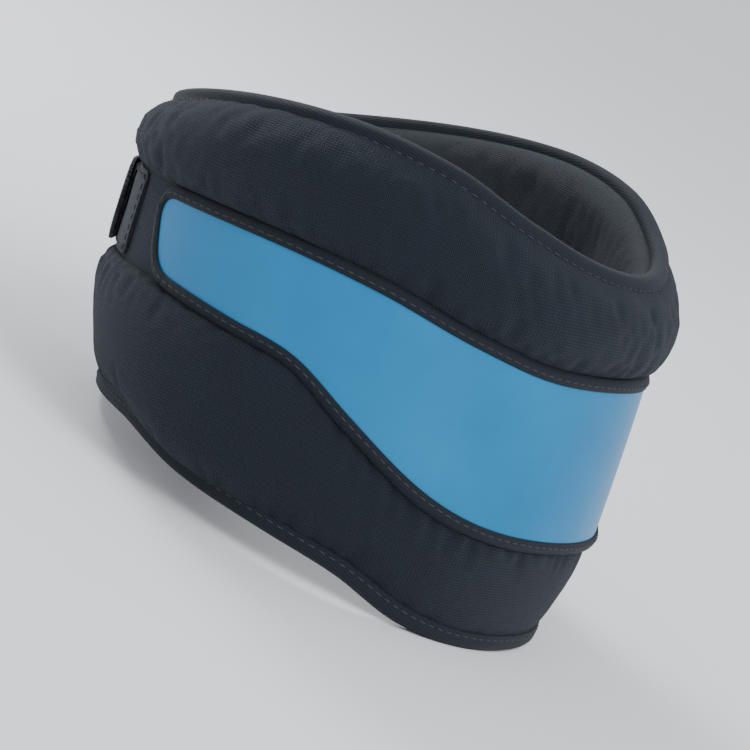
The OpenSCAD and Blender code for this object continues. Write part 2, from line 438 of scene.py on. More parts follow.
def sheet_plastic():
    """Sky-blue satin sheet with a faint leather-like grain, soft cloudiness and fine scuffs."""
    material, tree, bsdf = blank(
        "splint_sheet", Coat_Weight=0.1, Coat_Roughness=0.2, Specular_IOR_Level=0.3,
    )
    uv, _ = weave_uv(tree)
    cloud = noise(tree, uv, 30, 2)
    grain = noise(tree, uv, 0.8, 4, 0.6)
    streak_uv = add(
        tree, "ShaderNodeMapping", {"Vector": uv, "Scale": (0.12, 1.0, 1.0), "Rotation": (0, 0, 0.12)},
    ).outputs["Vector"]
    scuff = ramp(tree, noise(tree, streak_uv, 0.5, 4, 0.65), 0.63, 0.75)
    deep, pale = (0.002, 0.152, 0.345, 1), (0.003, 0.18, 0.395, 1)
    base = mix_colour(tree, ramp(tree, cloud, 0.3, 0.7), deep, pale)
    worn = mix_colour(tree, calc(tree, "MULTIPLY", scuff, 0.12), base, (0.12, 0.38, 0.56, 1))
    tree.links.new(worn, bsdf.inputs["Base Color"])
    roughness = calc(tree, "MULTIPLY_ADD", scuff, 0.12, ramp(tree, grain, 0.3, 0.7, 0.36, 0.46))
    tree.links.new(roughness, bsdf.inputs["Roughness"])
    bump(tree, bsdf, (cloud, 0.5, 0.25), (grain, 0.05, 0.5), (scuff, -0.02, 0.3))
    return material


def foam():
    """Open-cell foam, which only shows if the cover is taken away."""
    material, tree, bsdf = blank("foam", Roughness=0.95, Specular_IOR_Level=0.1)
    uv, _ = weave_uv(tree)
    cells = add(
        tree, "ShaderNodeTexVoronoi", {"Vector": uv, "Scale": 1 / (1.2 * MM)}
    ).outputs["Distance"]
    colour = mix_colour(tree, cells, (0.72, 0.7, 0.62, 1), (0.86, 0.85, 0.8, 1))
    tree.links.new(colour, bsdf.inputs["Base Color"])
    bump(tree, bsdf, (cells, 0.4, 0.8))
    return material


COVER = fabric(
    "cover_fabric", (0.003, 0.0058, 0.0096), (0.0125, 0.0215, 0.0325), knit(1.15, 0.85), 0.28, 0.08, 0.85,
)
LINING = fabric(
    "lining_fabric", (0.011, 0.014, 0.018), (0.042, 0.048, 0.057), knit(0.9, 0.7), 0.2, 0.12, 0.9,
)
TAPE = fabric(
    "binding_tape", (0.0022, 0.0042, 0.0072), (0.009, 0.0155, 0.0245), twill(0.7, 0.9), 0.15, 0.05,
    0.72, 0.12,
)
WEBBING = fabric(
    "webbing", (0.004, 0.005, 0.007), (0.024, 0.028, 0.034), twill(1.1, 1.6), 0.3, 0.06, 0.68, 0.1,
)
HOOK = fabric(
    "hook_tape", (0.005, 0.006, 0.007), (0.03, 0.033, 0.037), twill(1.5, 1.5), 0.5, 0.03, 0.6, 0.1,
)
LOOP = fabric("loop_tape", (0.007, 0.009, 0.011), (0.04, 0.045, 0.052), pile, 0.6, 0.15, 0.95, 0.4)
THREAD = fabric(
    "thread", (0.014, 0.017, 0.021), (0.045, 0.05, 0.058), twill(0.3, 0.3), 0.05, 0.05, 0.6, 0.0,
)
LABEL = fabric(
    "label_satin", (0.55, 0.55, 0.53), (0.76, 0.76, 0.74), twill(0.4, 0.5), 0.05, 0.1, 0.5, 0.0,
)
SPLINT = sheet_plastic()
FOAM = foam()


# -------- cloth simulation

SIM_SCALE = 10.0
SIM_FRAMES = 20
SIM_MASS = 0.05
SIM_STIFFNESS = 6.0
SIM_BENDING = 0.4
SIM_COLUMNS = 88
SLIDE_SHARE = 0.5


def settle(points, pinned, slack, pressure, outward):
    """Lets a sheet of cloth that is held at its pinned points fill out and crumple.

    The sheet is a grid of points in metres. It is simulated SIM_SCALE times as large, because the
    solver's forces suit pieces the size of a cushion. slack is how much longer the cloth is cut than
    the grid. Returns how far each point moves.
    """
    n, m = points.shape[:2]
    start = (points - ORIGIN).reshape(-1, 3) * SIM_SCALE
    mesh = bpy.data.meshes.new("settling")
    mesh.from_pydata([tuple(p) for p in start], [], grid_faces(n, m))
    mesh.update()
    facing = sum(face.normal.dot(Vector(outward[face.vertices[0]])) for face in mesh.polygons)
    if facing < 0:
        mesh.flip_normals()
    obj = bpy.data.objects.new("settling", mesh)
    bpy.context.scene.collection.objects.link(obj)
    group = obj.vertex_groups.new(name="pinned")
    group.add([int(i) for i in np.flatnonzero(pinned)], 1.0, "REPLACE")
    cloth = obj.modifiers.new("settle", "CLOTH")
    settings = cloth.settings
    settings.quality = 6
    settings.mass = SIM_MASS
    settings.tension_stiffness = SIM_STIFFNESS
    settings.compression_stiffness = SIM_STIFFNESS
    settings.shear_stiffness = SIM_STIFFNESS / 3
    settings.bending_stiffness = SIM_BENDING
    settings.use_pressure = True
    settings.uniform_pressure_force = pressure
    settings.effector_weights.gravity = 0
    settings.vertex_group_mass = "pinned"
    settings.shrink_min = -slack
    cloth.collision_settings.use_collision = False
    cloth.point_cache.frame_start = 1
    cloth.point_cache.frame_end = SIM_FRAMES
    for number in range(1, SIM_FRAMES + 1):
        bpy.context.scene.frame_set(number)
    settled = obj.evaluated_get(bpy.context.evaluated_depsgraph_get()).data
    end = np.zeros(3 * n * m)
    settled.vertices.foreach_get("co", end)
    bpy.data.objects.remove(obj)
    bpy.data.meshes.remove(mesh)
    bpy.context.scene.frame_set(1)
    return (end.reshape(-1, 3) - start).reshape(points.shape) / SIM_SCALE


def crumple(section, held, slack, pressure, out_sign, cap, inward):
    """How far a cover moves when it fills, as a function of (angles, side), in mm as (r, arc, z).

    section(angles, side) gives the cover's radii and heights, and held(rows, count) which of its
    points are sewn down, in count columns. A point moves at most cap away from the foam and inward
    towards it.
    """
    psi = np.linspace(0, END_PSI, SIM_COLUMNS)
    r, z = (np.concatenate([b[:0:-1], a]) for a, b in zip(section(psi, "left"), section(psi, "right")))
    around = np.concatenate([-psi[:0:-1], psi])
    count = r.shape[1]
    rows = np.unique(np.concatenate([np.arange(0, count, 2), [count - 1]]))
    r, z = r[:, rows], z[:, rows]
    points = ring_point(taper_end(r, np.abs(around)), around[:, None], z)
    pinned = held(rows, len(around))
    pinned[:4] = pinned[-4:] = True
    normal = grid_normals(points) * out_sign
    move = settle(points, pinned.ravel(), slack, pressure, normal.reshape(-1, 3)) / MM
    lift = (move * normal).sum(-1, keepdims=True)
    slide = move - lift * normal
    lift = np.where(lift > 0, cap * np.tanh(lift / cap), -inward * np.tanh(-lift / inward))
    move = lift * normal + SLIDE_SHARE * slide
    a = np.radians(around)[:, None]
    across, back = move @ ACROSS, move @ BACK
    parts = np.stack([
        across * np.sin(a) - back * np.cos(a), across * np.cos(a) + back * np.sin(a), move @ AXIS,
    ], -1)

    def moved(angles, sign):
        at = sign * np.asarray(angles)
        along = through(around, parts, at)
        spread = through(rows, along.swapaxes(0, 1), np.arange(count)).swapaxes(0, 1)
        return spread * smoothstep(to_end(np.abs(at)), 2, 14)[:, None, None]

    return moved


# -------- padded body

SEAM_RISE = 2.6
SEAM_X = 3.6
CORNER_R = 8.0
SHOULDER = 4.0
BOTTOM_ROUND = 17.0
TOP_ROUND = 12.0
INNER_ROUND = 9.0
LOW_PULL = 3.0
END_PSI = 180 - math.degrees(math.asin(SEAM_X / SEAM_R))
ROWS = {"edge": 10, "roll": 12, "shoulder": 7, "floor": 6}

# Radius of each roll's face at the front, from its rim at 0 to the splint's tape at 1. The lower roll
# slants in towards the throat, and the upper one is fullest halfway up.
LOW_FACE = [[0, 70.5], [0.1, 71.2], [0.3, 73], [0.6, 75.7], [0.84, 77.6], [1, 79]]
HIGH_FACE = [[0, 74], [0.05, 77.4], [0.13, 80.2], [0.28, 82.5], [0.5, 83.7], [0.7, 83.4], [0.88, 82.2],
             [1, 81.4]]
# The same at the back, from the rim at 0 to the strap's lane at 1.
LOW_BACK = [[0, 74], [0.05, 75.6], [0.2, 77], [0.4, 78.4], [0.65, 80.6], [0.85, 82.2], [1, 82.4]]
HIGH_BACK = [[0, 74], [0.05, 77], [0.14, 79.6], [0.3, 82], [0.55, 82.9], [0.85, 82.2], [1, 81.4]]


def columns():
    """Angles from the chin to the rear end, a degree apart, and closer at the chin and the end."""
    last = 10.0
    count = int(round(END_PSI - last))
    near = END_PSI - last * (1 - np.sin(np.linspace(0, 90, 16) * math.pi / 180))
    chin = [0.0, 0.1, 0.3, 0.6]
    return np.concatenate([chin, np.linspace(0, END_PSI - last, count + 1)[1:-1], near])


def to_end(psi):
    """Distance in mm from an angle to the rear end's seam."""
    return np.radians(END_PSI - psi) * ROLL_R


def front_share(psi):
    """1 at the front, falling to 0 at the sides, where the rolls take their full round shape."""
    return 1 - smoothstep(psi, 40, 105)


def back_share(psi):
    """0 at the sides, rising to 1 at the back."""
    return smoothstep(psi, 100, 145)


def low_pull(psi):
    """How far the lower rim is drawn in at the back, short of the rear end."""
    return LOW_PULL * back_share(psi) * smoothstep(to_end(psi), 3, 25)


def low_seam_r(psi):
    """Radius of the lower seam, which is drawn in at the front and at the back."""
    return SEAM_R + (LOW_FACE[0][1] - SEAM_R) * front_share(psi) - low_pull(psi)


def seam_heights(psi):
    """Heights of the lower and upper seams, drawn in round the rear corners."""
    inset = corner_inset(to_end(psi), CORNER_R)
    low = height(RIM_BOTTOM, psi, SEAM_R) + SEAM_RISE + inset
    high = height(RIM_TOP, psi, SEAM_R) - SEAM_RISE - inset
    return low, high


# Angles where the splint ends, and where the strap's lane has its full depth.
SPLINT_END_PSI = 122
LANE_PSI = 136


def groove_edges(psi):
    """Heights between which the body is drawn in, under the splint and then under the strap."""
    back = smoothstep(psi, SPLINT_END_PSI - 6, LANE_PSI)
    held = np.minimum(psi, SPLINT_END_PSI)
    low = (height(SPLINT_BOTTOM, held, SHEET_OUT) - TAPE_W) * (1 - back)
    high = (height(SPLINT_TOP, held, SHEET_OUT) + TAPE_W) * (1 - back)
    return low + (LANE_LOW - 1) * back, high + (LANE_HIGH + 1) * back


def groove_floor(psi, place):
    """Radius of the groove's floor."""
    if place == "left":
        return SHEET_IN + (ROOT_IN - 0.1 - SHEET_IN) * smoothstep(psi, SPLINT_END_PSI, LANE_PSI)
    return SHEET_IN - 0.05 + 0 * psi


def arc_in(r_in, r_out, z_end, rise, count, power=2.2):
    """Quarter of a superellipse from the seam, where it runs outward, to the roll's face."""
    t = np.linspace(0, math.pi / 2, count)[None]
    r = r_in[:, None] + (r_out - r_in)[:, None] * np.sin(t) ** (2 / power)
    z = z_end[:, None] + rise[:, None] * (1 - np.cos(t) ** (2 / power))
    return r, z


def roll(psi, room, floor, round_to, face, back):
    """Radii of one roll and distances from its seam, from the seam to the groove's floor.

    The roll is round at the sides, and runs over to the tables face at the front and back at the rear.
    """
    one = np.ones_like(psi)
    rounded = np.minimum(round_to, 0.6 * room)
    shoulder = np.minimum(SHOULDER, 0.7 * (room - rounded))
    r1, d1 = arc_in(SEAM_R * one, ROLL_R * one, 0 * one, rounded, ROWS["edge"])
    r3, d3 = arc_in(floor, ROLL_R * one, room, -shoulder, ROWS["shoulder"], 2)
    t = np.linspace(0, 1, ROWS["roll"] + 2)[None, 1:-1]
    d2 = d1[:, -1:] + (d3[:, -1:] - d1[:, -1:]) * t
    r = np.concatenate([r1, ROLL_R + 0 * d2, r3[:, ::-1]], 1)
    d = np.concatenate([d1, d2, d3[:, ::-1]], 1)
    q = d / room[:, None]
    share = np.clip((r - floor[:, None]) / (ROLL_R - floor[:, None]), 0, 1)
    side = r + (0.3 - 1.3 * (2 * q - 1) ** 2) * share
    on_shoulder = np.arange(r.shape[1])[None] > ROWS["edge"] + ROWS["roll"]
    for table, weight in ((face, front_share(psi)), (back, back_share(psi))):
        drawn = curve(table, q)
        drawn = np.where(on_shoulder, floor[:, None] + share * (drawn - floor[:, None]), drawn)
        side = side + (drawn - side) * weight[:, None]
    return side, d


def outer_section(psi, place):
    """Radii and heights of the cover's outer face, from the lower seam to the upper one."""
    low, high = seam_heights(psi)
    g_low, g_high = groove_edges(psi)
    floor = groove_floor(psi, place)
    r1, d1 = roll(psi, g_low - low, floor, BOTTOM_ROUND, LOW_FACE, LOW_BACK)
    r1 = r1 - low_pull(psi)[:, None] * (1 - d1 / (g_low - low)[:, None]) ** 2
    r3, d3 = roll(psi, high - g_high, floor, TOP_ROUND, HIGH_FACE, HIGH_BACK)
    t = np.linspace(0, 1, ROWS["floor"] + 2)[None, 1:-1]
    z2 = g_low[:, None] + (g_high - g_low)[:, None] * t
    r = np.concatenate([r1, floor[:, None] + 0 * z2, r3[:, ::-1]], 1)
    z = np.concatenate([low[:, None] + d1, z2, (high[:, None] - d3)[:, ::-1]], 1)
    return r, z


def taper_end(r, psi):
    """Draws radii in to the seam near the rear end, as a full round."""
    swell = r - SEAM_R
    reach = np.abs(swell) * 0.95 + 0.6
    d = np.clip(1 - to_end(psi)[:, None] / reach, 0, 1)
    return SEAM_R + swell * np.sqrt(1 - d**2)


WAVES = 5
PUCKER_PITCH = 7.4
PUCKER_DEPTH = 0.28


def waves(x, seed):
    """Smooth irregular waves of about unit size, from a few sines of seeded random phases."""
    rng = np.random.default_rng(seed)
    total = 0 * x
    for _ in range(WAVES):
        total = total + np.sin(x * rng.uniform(0.6, 1.7) + rng.uniform(0, 2 * math.pi))
    return total / WAVES**0.5


def cover_details(r, z, psi, place):
    """Puckers along the splint's surround and slow unevenness of the stuffed rolls."""
    g_low, g_high = groove_edges(psi)
    arc = np.radians(psi) * ROLL_R
    near_chin = smoothstep(psi, 0, 12)
    seed = 3 if place == "left" else 8
    puckers = 0
    for k, (edge, sign) in enumerate(((g_low, -1), (g_high, 1))):
        away = (z - edge[:, None]) * sign
        reach = np.exp(-np.maximum(away, 0) / 5) * (away > 0.3)
        wave = np.cos(2 * math.pi * arc / PUCKER_PITCH + 0.8 * waves(arc / 30, seed + k))
        depth = (PUCKER_DEPTH * (1 + wave) * near_chin)[:, None]
        puckers = puckers - depth * reach * smoothstep(away, 0, 3)
    slow = 0.25 * waves(arc / 22, seed + 5)[:, None] * waves(z / 14, seed + 6)
    share = np.clip((r - SEAM_R) / (ROLL_R - SEAM_R), 0, 1)
    return r + (puckers + slow * near_chin[:, None]) * share


def inner_section(psi, offset=0.0):
    """Radii and heights of the neck side, offset outward, from the lower seam to the upper one."""
    low, high = seam_heights(psi)
    one = np.ones_like(psi)
    r_in = (NECK_R + offset) * one
    rise = np.minimum(INNER_ROUND, 0.4 * (high - low))
    r1, z1 = arc_in(low_seam_r(psi), r_in, low, rise, 9)
    r3, z3 = arc_in(SEAM_R * one, r_in, high, -rise, 9)
    t = np.linspace(0, 1, 32)[None, 1:-1]
    z2 = z1[:, -1:] + (z3[:, -1:] - z1[:, -1:]) * t
    r = np.concatenate([r1, r_in[:, None] + 0 * z2, r3[:, ::-1]], 1)
    z = np.concatenate([z1, z2, z3[:, ::-1]], 1)
    return r, z


def flat_uv(r, z, psi, r_ref):
    """Flat coordinates in metres: along the ring, and along the section."""
    step = np.hypot(np.diff(r, axis=1), np.diff(z, axis=1))
    along = np.concatenate([np.zeros((len(psi), 1)), np.cumsum(step, 1)], 1)
    # measured from mid-height, so that the knit's rows stay level over the body
    middle = along[:, along.shape[1] // 2][:, None]
    u = np.radians(psi)[:, None] * r_ref + 0 * along
    return MM * np.stack([u, along - middle + z[:, z.shape[1] // 2][:, None]], -1)


def bend(piece):
    """Bakes a soft piece's placement into its mesh."""
    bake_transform(piece)


def cover_held(rows, count):
    """Sewn points of the outer cover: its rims, its groove, and some stitches along the groove."""
    before = ROWS["edge"] + ROWS["roll"] + ROWS["shoulder"]
    low, high = before - 2, before + ROWS["floor"] + 1
    sewn_down = (rows == 0) | (rows == rows[-1]) | ((rows >= low) & (rows <= high))
    near = (rows >= low - 3) & (rows <= high + 3)
    tacked = np.random.default_rng(5).random(count) < 0.4
    return sewn_down[None] | (near[None] & tacked[:, None])


def lining_held(rows, count):
    """Held points of the lining: its rims, and the spots where it is glued to the foam."""
    rims = (rows <= 6) | (rows >= rows[-1] - 6)
    glued = np.random.default_rng(9).random((count, len(rows))) < 0.07
    return rims[None] | glued


def under_label(psi, z):
    """Share from 0 to 1 by which the care label holds the lining flat."""
    _, (a_from, a_to), (z_low, z_high) = LABEL_BOX
    beside = np.radians(np.abs(psi - (a_from + a_to) / 2) - (a_to - a_from) / 2)[:, None] * NECK_R
    above = np.abs(z - (z_low + z_high) / 2) - (z_high - z_low) / 2
    return 1 - smoothstep(np.maximum(beside, above), 0.5, 5)


cover_moves = crumple(outer_section, cover_held, 0.03, 4.0, 1, 2.4, 0.5)
lining_moves = crumple(lambda psi, _: inner_section(psi), lining_held, 0.02, 1.0, -1, 1.6, 0.2)


def body_half(place):
    """Cover, foam and lining of one half."""
    sign = SIDES[place]
    psi = columns()
    angle = (sign * psi)[:, None]

    def moved(r, z, move, r_ref):
        across = np.degrees(move[..., 1] / r_ref)
        return ring_point(taper_end(r + move[..., 0], psi), angle + across, z + move[..., 2])

    r, z = outer_section(psi, place)
    uv = flat_uv(r, z, sign * psi, ROLL_R)
    plain = ring_point(taper_end(r, psi), angle, z)
    inside = plain - COVER_T * MM * grid_normals(plain)
    detailed = moved(cover_details(r, z, psi, place), z, cover_moves(psi, sign), ROLL_R)
    cover = shell(f"cover_{place}", detailed, inside, uv, COVER)

    r, z = inner_section(psi)
    lining_uv = flat_uv(r, z, sign * psi, NECK_R)
    free = (1 - under_label(sign * psi, z))[..., None]
    neck_side = moved(r, z, lining_moves(psi, sign) * free, NECK_R)
    r, z = inner_section(psi, LINING_T)
    foam_side = ring_point(taper_end(r, psi), angle, z)
    lining = shell(f"lining_cloth_{place}", neck_side, foam_side, lining_uv, LINING)

    # the foam is hidden, so it takes every third column, and as many rows as the cover
    pick = np.linspace(0, foam_side.shape[1] - 1, inside.shape[1]).round().astype(int)
    core = shell(f"foam_{place}", inside[::3], foam_side[::3, pick], uv[::3], FOAM)

    slots = {"cover_fabric": cover, "lining_fabric": lining, "foam": core}
    for (slot, piece), node in zip(slots.items(), ("outer_cover", "lining", "foam_core")):
        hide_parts(f"{node}_{place}", f"{node}_front")
        bend(piece)


for place in SIDES:
    body_half(place)


# -------- edge binding

BINDING_W = 5.6
BINDING_H = 5.2
BINDING_PITCH = 3.4
SEWN_IN = 1.3


def rim_paths(place):
    """Paths of one half's lower rim, rear end and upper rim, with their directions, in the frame.

    The three follow each other and share their end points. Each is (path, out of the edge, outward).
    """
    sign = SIDES[place]
    psi = columns()
    low, high = seam_heights(psi)
    middle = np.linspace(low[-1], high[-1], 30)[1:-1]
    upright = 0 * middle
    around = sign * np.concatenate([psi, upright + END_PSI, psi[::-1]])
    z = np.concatenate([low, middle, high[::-1]])
    r = np.concatenate([low_seam_r(psi), upright + SEAM_R, 0 * psi + SEAM_R])
    path = ring_point(r, around, z)
    along = np.gradient(path, axis=0)
    outward = ring_point(r + 1, around, z) - path
    outward /= np.linalg.norm(outward, axis=1, keepdims=True)
    edge = np.cross(along, outward) * sign
    edge /= np.linalg.norm(edge, axis=1, keepdims=True)
    corner = int(np.flatnonzero(to_end(psi) <= CORNER_R * 0.6)[0])
    last = len(around) - corner
    cuts = {"bottom": slice(0, corner + 1), "end": slice(corner, last), "top": slice(last - 1, None)}
    return {which: (path[cut], edge[cut], outward[cut]) for which, cut in cuts.items()}


def folded_tape():
    """Section of a tape folded over an edge: (out of the edge, across the thickness) pairs."""
    half, foot = BINDING_W / 2, SEAM_RISE - BINDING_H
    arc = [
        (SEAM_RISE - half * 0.8 * (1 - math.cos(t)), half * math.sin(t))
        for t in np.linspace(-math.pi / 2, math.pi / 2, 9)
    ]
    under = [(foot - 0.35, half * 0.7), (foot - 0.35, -half * 0.7)]
    return [(foot, -half * 1.04), *arc, (foot, half * 1.04), *under]


def binding(which, place, parts, path, edge, outward):
    """Tape over one stretch of the rim. Returns its two rows of stitches as (centre, along, out)."""
    tape = sweep(f"{which}_binding_tape_{place}", path, edge, outward, folded_tape(), TAPE)
    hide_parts(*parts)
    bend(tape)
    rows = []
    for face in (1, -1):
        line = path + MM * (edge * (SEAM_RISE - BINDING_H + SEWN_IN) + face * outward * BINDING_W / 2)
        centres, directions = spaced(line, BINDING_PITCH)
        nearest = [int(np.argmin(np.linalg.norm(line - c, axis=1))) for c in centres]
        rows.append((centres, directions, face * outward[nearest]))
    return rows


for place in SIDES:
    found = []
    for which, directions in rim_paths(place).items():
        parts = [f"{which}_binding_{place}"] + ([] if which == "end" else [f"{which}_binding_front"])
        found += binding(which, place, parts, *directions)
    thread = stitches(f"binding_stitches_{place}", *map(np.concatenate, zip(*found)))
    bend(thread)


def sewn(name, lines, node, pitch=3.0):
    """Thread that stands for a CAD node, in stitches along lines that lie on the ring."""
    found = []
    for line in lines:
        centres, along = spaced(line, pitch)
        _, psi, z = ring_coords(centres)
        found.append((centres, along, ring_point(ROLL_R + 1, psi, z) - ring_point(ROLL_R, psi, z)))
    thread = stitches(name, *map(np.concatenate, zip(*found)))
    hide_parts(node)
    return thread


# -------- splint

def splint_end(share):
    """Arc position in mm of the splint's slanted rear edge, at a share of its height."""
    low, top = (ROLL_R * math.acos(-p * ROLL_R / SHEET_OUT) for p in (SPLINT_END_LOW, SPLINT_END_TOP))
    inset = corner_inset(np.minimum(share, 1 - share) * SPLINT_END_TALL, SPLINT_CORNER)
    return low + (top - low) * share - inset


def splint_grid(n, m):
    """Arc positions and heights in mm of a grid over the part of the splint that shows."""
    share = (1 - np.cos(np.linspace(0, math.pi, m))) / 2
    share = 0.5 * share + 0.5 * np.linspace(0, 1, m)
    s = splint_end(share)[None] * np.sin(np.linspace(-math.pi / 2, math.pi / 2, n))[:, None]
    even = splint_end(share)[None] * np.linspace(-1, 1, n)[:, None]
    s = 0.3 * s + 0.7 * even
    psi = np.degrees(s / ROLL_R)
    low, high = (height(table, psi, SHEET_OUT) for table in (SPLINT_BOTTOM, SPLINT_TOP))
    return s, low + (high - low) * share[None]


PANEL_HIDDEN = 1.8
OUTLINE_STEP = 1.5
SURROUND_SEAM = 1.4
SURROUND_PITCH = 3.2
# Section of the tape round the splint, in mm: out from the outline, and up from the sheet's face.
SURROUND = [
    (-0.2, 0.05), (-0.15, 0.45), (0.2, 0.7), (0.9, 0.85), (1.7, 0.85), (2.5, 0.65), (3.2, 0.2),
    (3.8, -0.6), (3.6, -1.3), (2.2, -0.9), (0.3, -0.3),
]


def outline():
    """Closed outline of the part of the splint that shows, as evenly spaced (arc, height) in mm."""
    s, z = splint_grid(241, 41)
    flat = np.stack([s, z], -1)
    loop = np.concatenate([flat[:, 0], flat[-1, 1:], flat[-2::-1, -1], flat[0, -2:0:-1]])
    loop = np.concatenate([loop, loop[:1]])
    length = lengths(loop)
    at = np.linspace(0, length[-1], int(length[-1] / OUTLINE_STEP), endpoint=False)
    even = np.stack([np.interp(at, length, loop[:, k]) for k in range(2)], -1)
    for _ in range(3):
        even = (np.roll(even, 1, 0) + 2 * even + np.roll(even, -1, 0)) / 4
    return even


def outline_normal(loop):
    """Outward unit normals of a closed outline."""
    along = np.roll(loop, -1, 0) - np.roll(loop, 1, 0)
    along /= np.linalg.norm(along, axis=1, keepdims=True)
    return np.stack([along[:, 1], -along[:, 0]], -1)


def on_ring(flat, r):
    """Points in the frame from (arc, height) in mm, at a radius."""
    return ring_point(r, np.degrees(flat[..., 0] / ROLL_R), flat[..., 1])


def build_splint():
    """Curved sheet, grown past the outline that shows, so that its edge lies under the tape."""
    s, z = splint_grid(281, 45)
    flat = np.stack([s, z], -1)
    along, up = (np.linspace(-1, 1, count) for count in s.shape)
    grown = flat.copy()
    grown[..., 0] += PANEL_HIDDEN * np.sign(s) * np.abs(along)[:, None] ** 40
    grown[..., 1] += PANEL_HIDDEN * np.sign(up) * np.abs(up) ** 8
    bow = 0.25 * (1 - up**2)
    soft = 0.12 * waves(s / 21, 51) * waves(z / 17, 52)
    outer = on_ring(grown, SHEET_OUT + bow + soft)
    inner = on_ring(grown, SHEET_IN + 0.25 + bow)
    sheet = shell("splint_panel", outer, inner, MM * flat, SPLINT)
    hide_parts("splint")
    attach(sheet, "front")


def build_surround():
    """Tape over the splint's edge, and the thread that holds it."""
    loop = outline()
    normal = outline_normal(loop)
    wobble = 0.12 * waves(np.arange(len(loop)) / 6, 61)
    rings = np.stack([
        on_ring(loop + (out + wobble * (out > 1))[:, None] * normal, SHEET_OUT + lift)
        for out, lift in SURROUND
    ], 1)
    n, k = rings.shape[:2]
    faces = [tuple(i % (n * k) for i in face) for face in grid_faces(n + 1, k, closed=True)]
    u = np.linspace(0, n * OUTLINE_STEP, n) * MM
    v = np.linspace(0, 12, k) * MM
    uv = np.stack(np.broadcast_arrays(u[:, None], v[None]), -1)
    tape = make_object("splint_surround", rings.reshape(-1, 3), faces, TAPE, uv.reshape(-1, 2))
    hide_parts("splint_binding")
    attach(tape, "front")

    line = on_ring(loop + SURROUND_SEAM * normal, SHEET_OUT + 0.8)
    line = np.concatenate([line, line[:1]])
    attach(sewn("splint_stitches", [line], "splint_seam", SURROUND_PITCH), "front")


build_splint()
build_surround()


# -------- closure

def band(name, r_in, r_out, psi, z_low, z_high, material, tip=0.0, corner=0.0, edge=0.35):
    """Flat strip round the ring between two radii, which may vary along it.

    tip rounds its far end over that many mm, and corner rounds the corners of both ends.
    """
    r_in, r_out = (np.broadcast_to(r, psi.shape)[:, None] for r in (r_in, r_out))
    v = np.linspace(-1, 1, 15)
    middle, half = (z_low + z_high) / 2, (z_high - z_low) / 2
    wide = np.full(psi.shape, half)
    for away, radius in ((psi - psi[0], corner), (psi[-1] - psi, tip or corner)):
        wide = wide - corner_inset(np.radians(away) * r_out[0, 0], radius)
    z = middle + np.maximum(wide, 0.02)[:, None] * v[None]
    angle = psi[:, None] + 0 * z
    thin = edge * np.abs(v[None]) ** 6
    outer = ring_point(r_out - thin, angle, z)
    inner = ring_point(r_in + thin * 0.3, angle, z)
    uv = MM * np.stack([np.radians(angle) * r_out, z], -1)
    return shell(name, outer, inner, uv, material)


def along_band(a_from, a_to, radius, rounded, count=60):
    """Angles along a band, closer together over its two ends, rounded mm long each."""
    reach = math.degrees(rounded / radius)
    bow = np.sin(np.linspace(0, math.pi / 2, 12))
    middle = np.linspace(a_from + reach, a_to - reach, count)[1:-1]
    return np.concatenate([a_from + reach * (1 - bow[::-1]), middle, a_to - reach + reach * bow])


def seam_box(psi_from, psi_to, z_low, z_high, r):
    """Closed line of a rectangle of stitching on the ring."""
    steps = np.linspace(0, 1, 40)
    across = np.concatenate([steps, 0 * steps + 1, 1 - steps, 0 * steps])
    up = np.roll(across, len(steps))
    return ring_point(r, psi_from + (psi_to - psi_from) * across, z_low + (z_high - z_low) * up)


def build_strap():
    """One length of webbing, sewn to the left wing, which reaches over the gap to the right one."""
    (web_in, web_out), (_, web_to), (z_low, z_high) = ring_box("strap_web")
    width = z_high - z_low
    psi = along_band(ROOT_FROM, web_to, web_out, width / 2, 80)
    rise = smoothstep(psi, ROOT_TO - 3, ROOT_TO + 5)
    r_in, r_out = ROOT_IN + (web_in - ROOT_IN) * rise, ROOT_OUT + (web_out - ROOT_OUT) * rise
    web = band("strap_webbing", r_in, r_out, psi, z_low, z_high, WEBBING, tip=width / 2, corner=0.8)
    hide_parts("strap_anchor", "strap_web")
    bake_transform(web)

    inset = 2.5
    a_from, a_to = ROOT_FROM + 2, ROOT_TO - 6
    box = seam_box(a_from, a_to, z_low + inset, z_high - inset, ROOT_OUT)
    steps = np.linspace(0, 1, 60)
    cross = [
        ring_point(ROOT_OUT, a_from + (a_to - a_from) * steps,
                   z_low + inset + (width - 2 * inset) * up)
        for up in (steps, 1 - steps)
    ]
    bend(sewn("strap_root_stitches", [box, *cross], "strap_anchor_seam"))


def build_hook():
    """Strip of hooks on the inner face of the webbing, and its seam, which shows on the outer one."""
    (r_in, r_out), (a_from, a_to), (z_low, z_high) = ring_box("hook_patch")
    half = (z_high - z_low) / 2
    psi = along_band(a_from, a_to, r_out, half)
    hook = band("hook_strip", r_in, r_out, psi, z_low, z_high, HOOK, tip=half, corner=1.5, edge=0.2)
    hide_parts("hook_patch")
    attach(hook, "strap")
    (_, web_out), _, _ = ring_box("strap_web")
    box = seam_box(a_from + 1.5, a_to - 9, z_low + 1.5, z_high - 1.5, web_out)
    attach(sewn("hook_stitches", [box], "hook_seam"), "strap")


def build_loop():
    """Patch of loop pile on the right wing, which the hook strip grips."""
    (r_in, r_out), (a_from, a_to), (z_low, z_high) = ring_box("loop_patch")
    psi = along_band(a_from + 0.6, a_to, r_out, 3.0)
    loop = band("loop_strip", r_in, r_out, psi, z_low, z_high, LOOP, corner=3.0, edge=0.45)
    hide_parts("loop_patch")
    bend(loop)
    box = seam_box(a_from + 2.0, a_to - 1.4, z_low + 1.8, z_high - 1.8, r_out)
    bend(sewn("loop_stitches", [box], "loop_seam"))


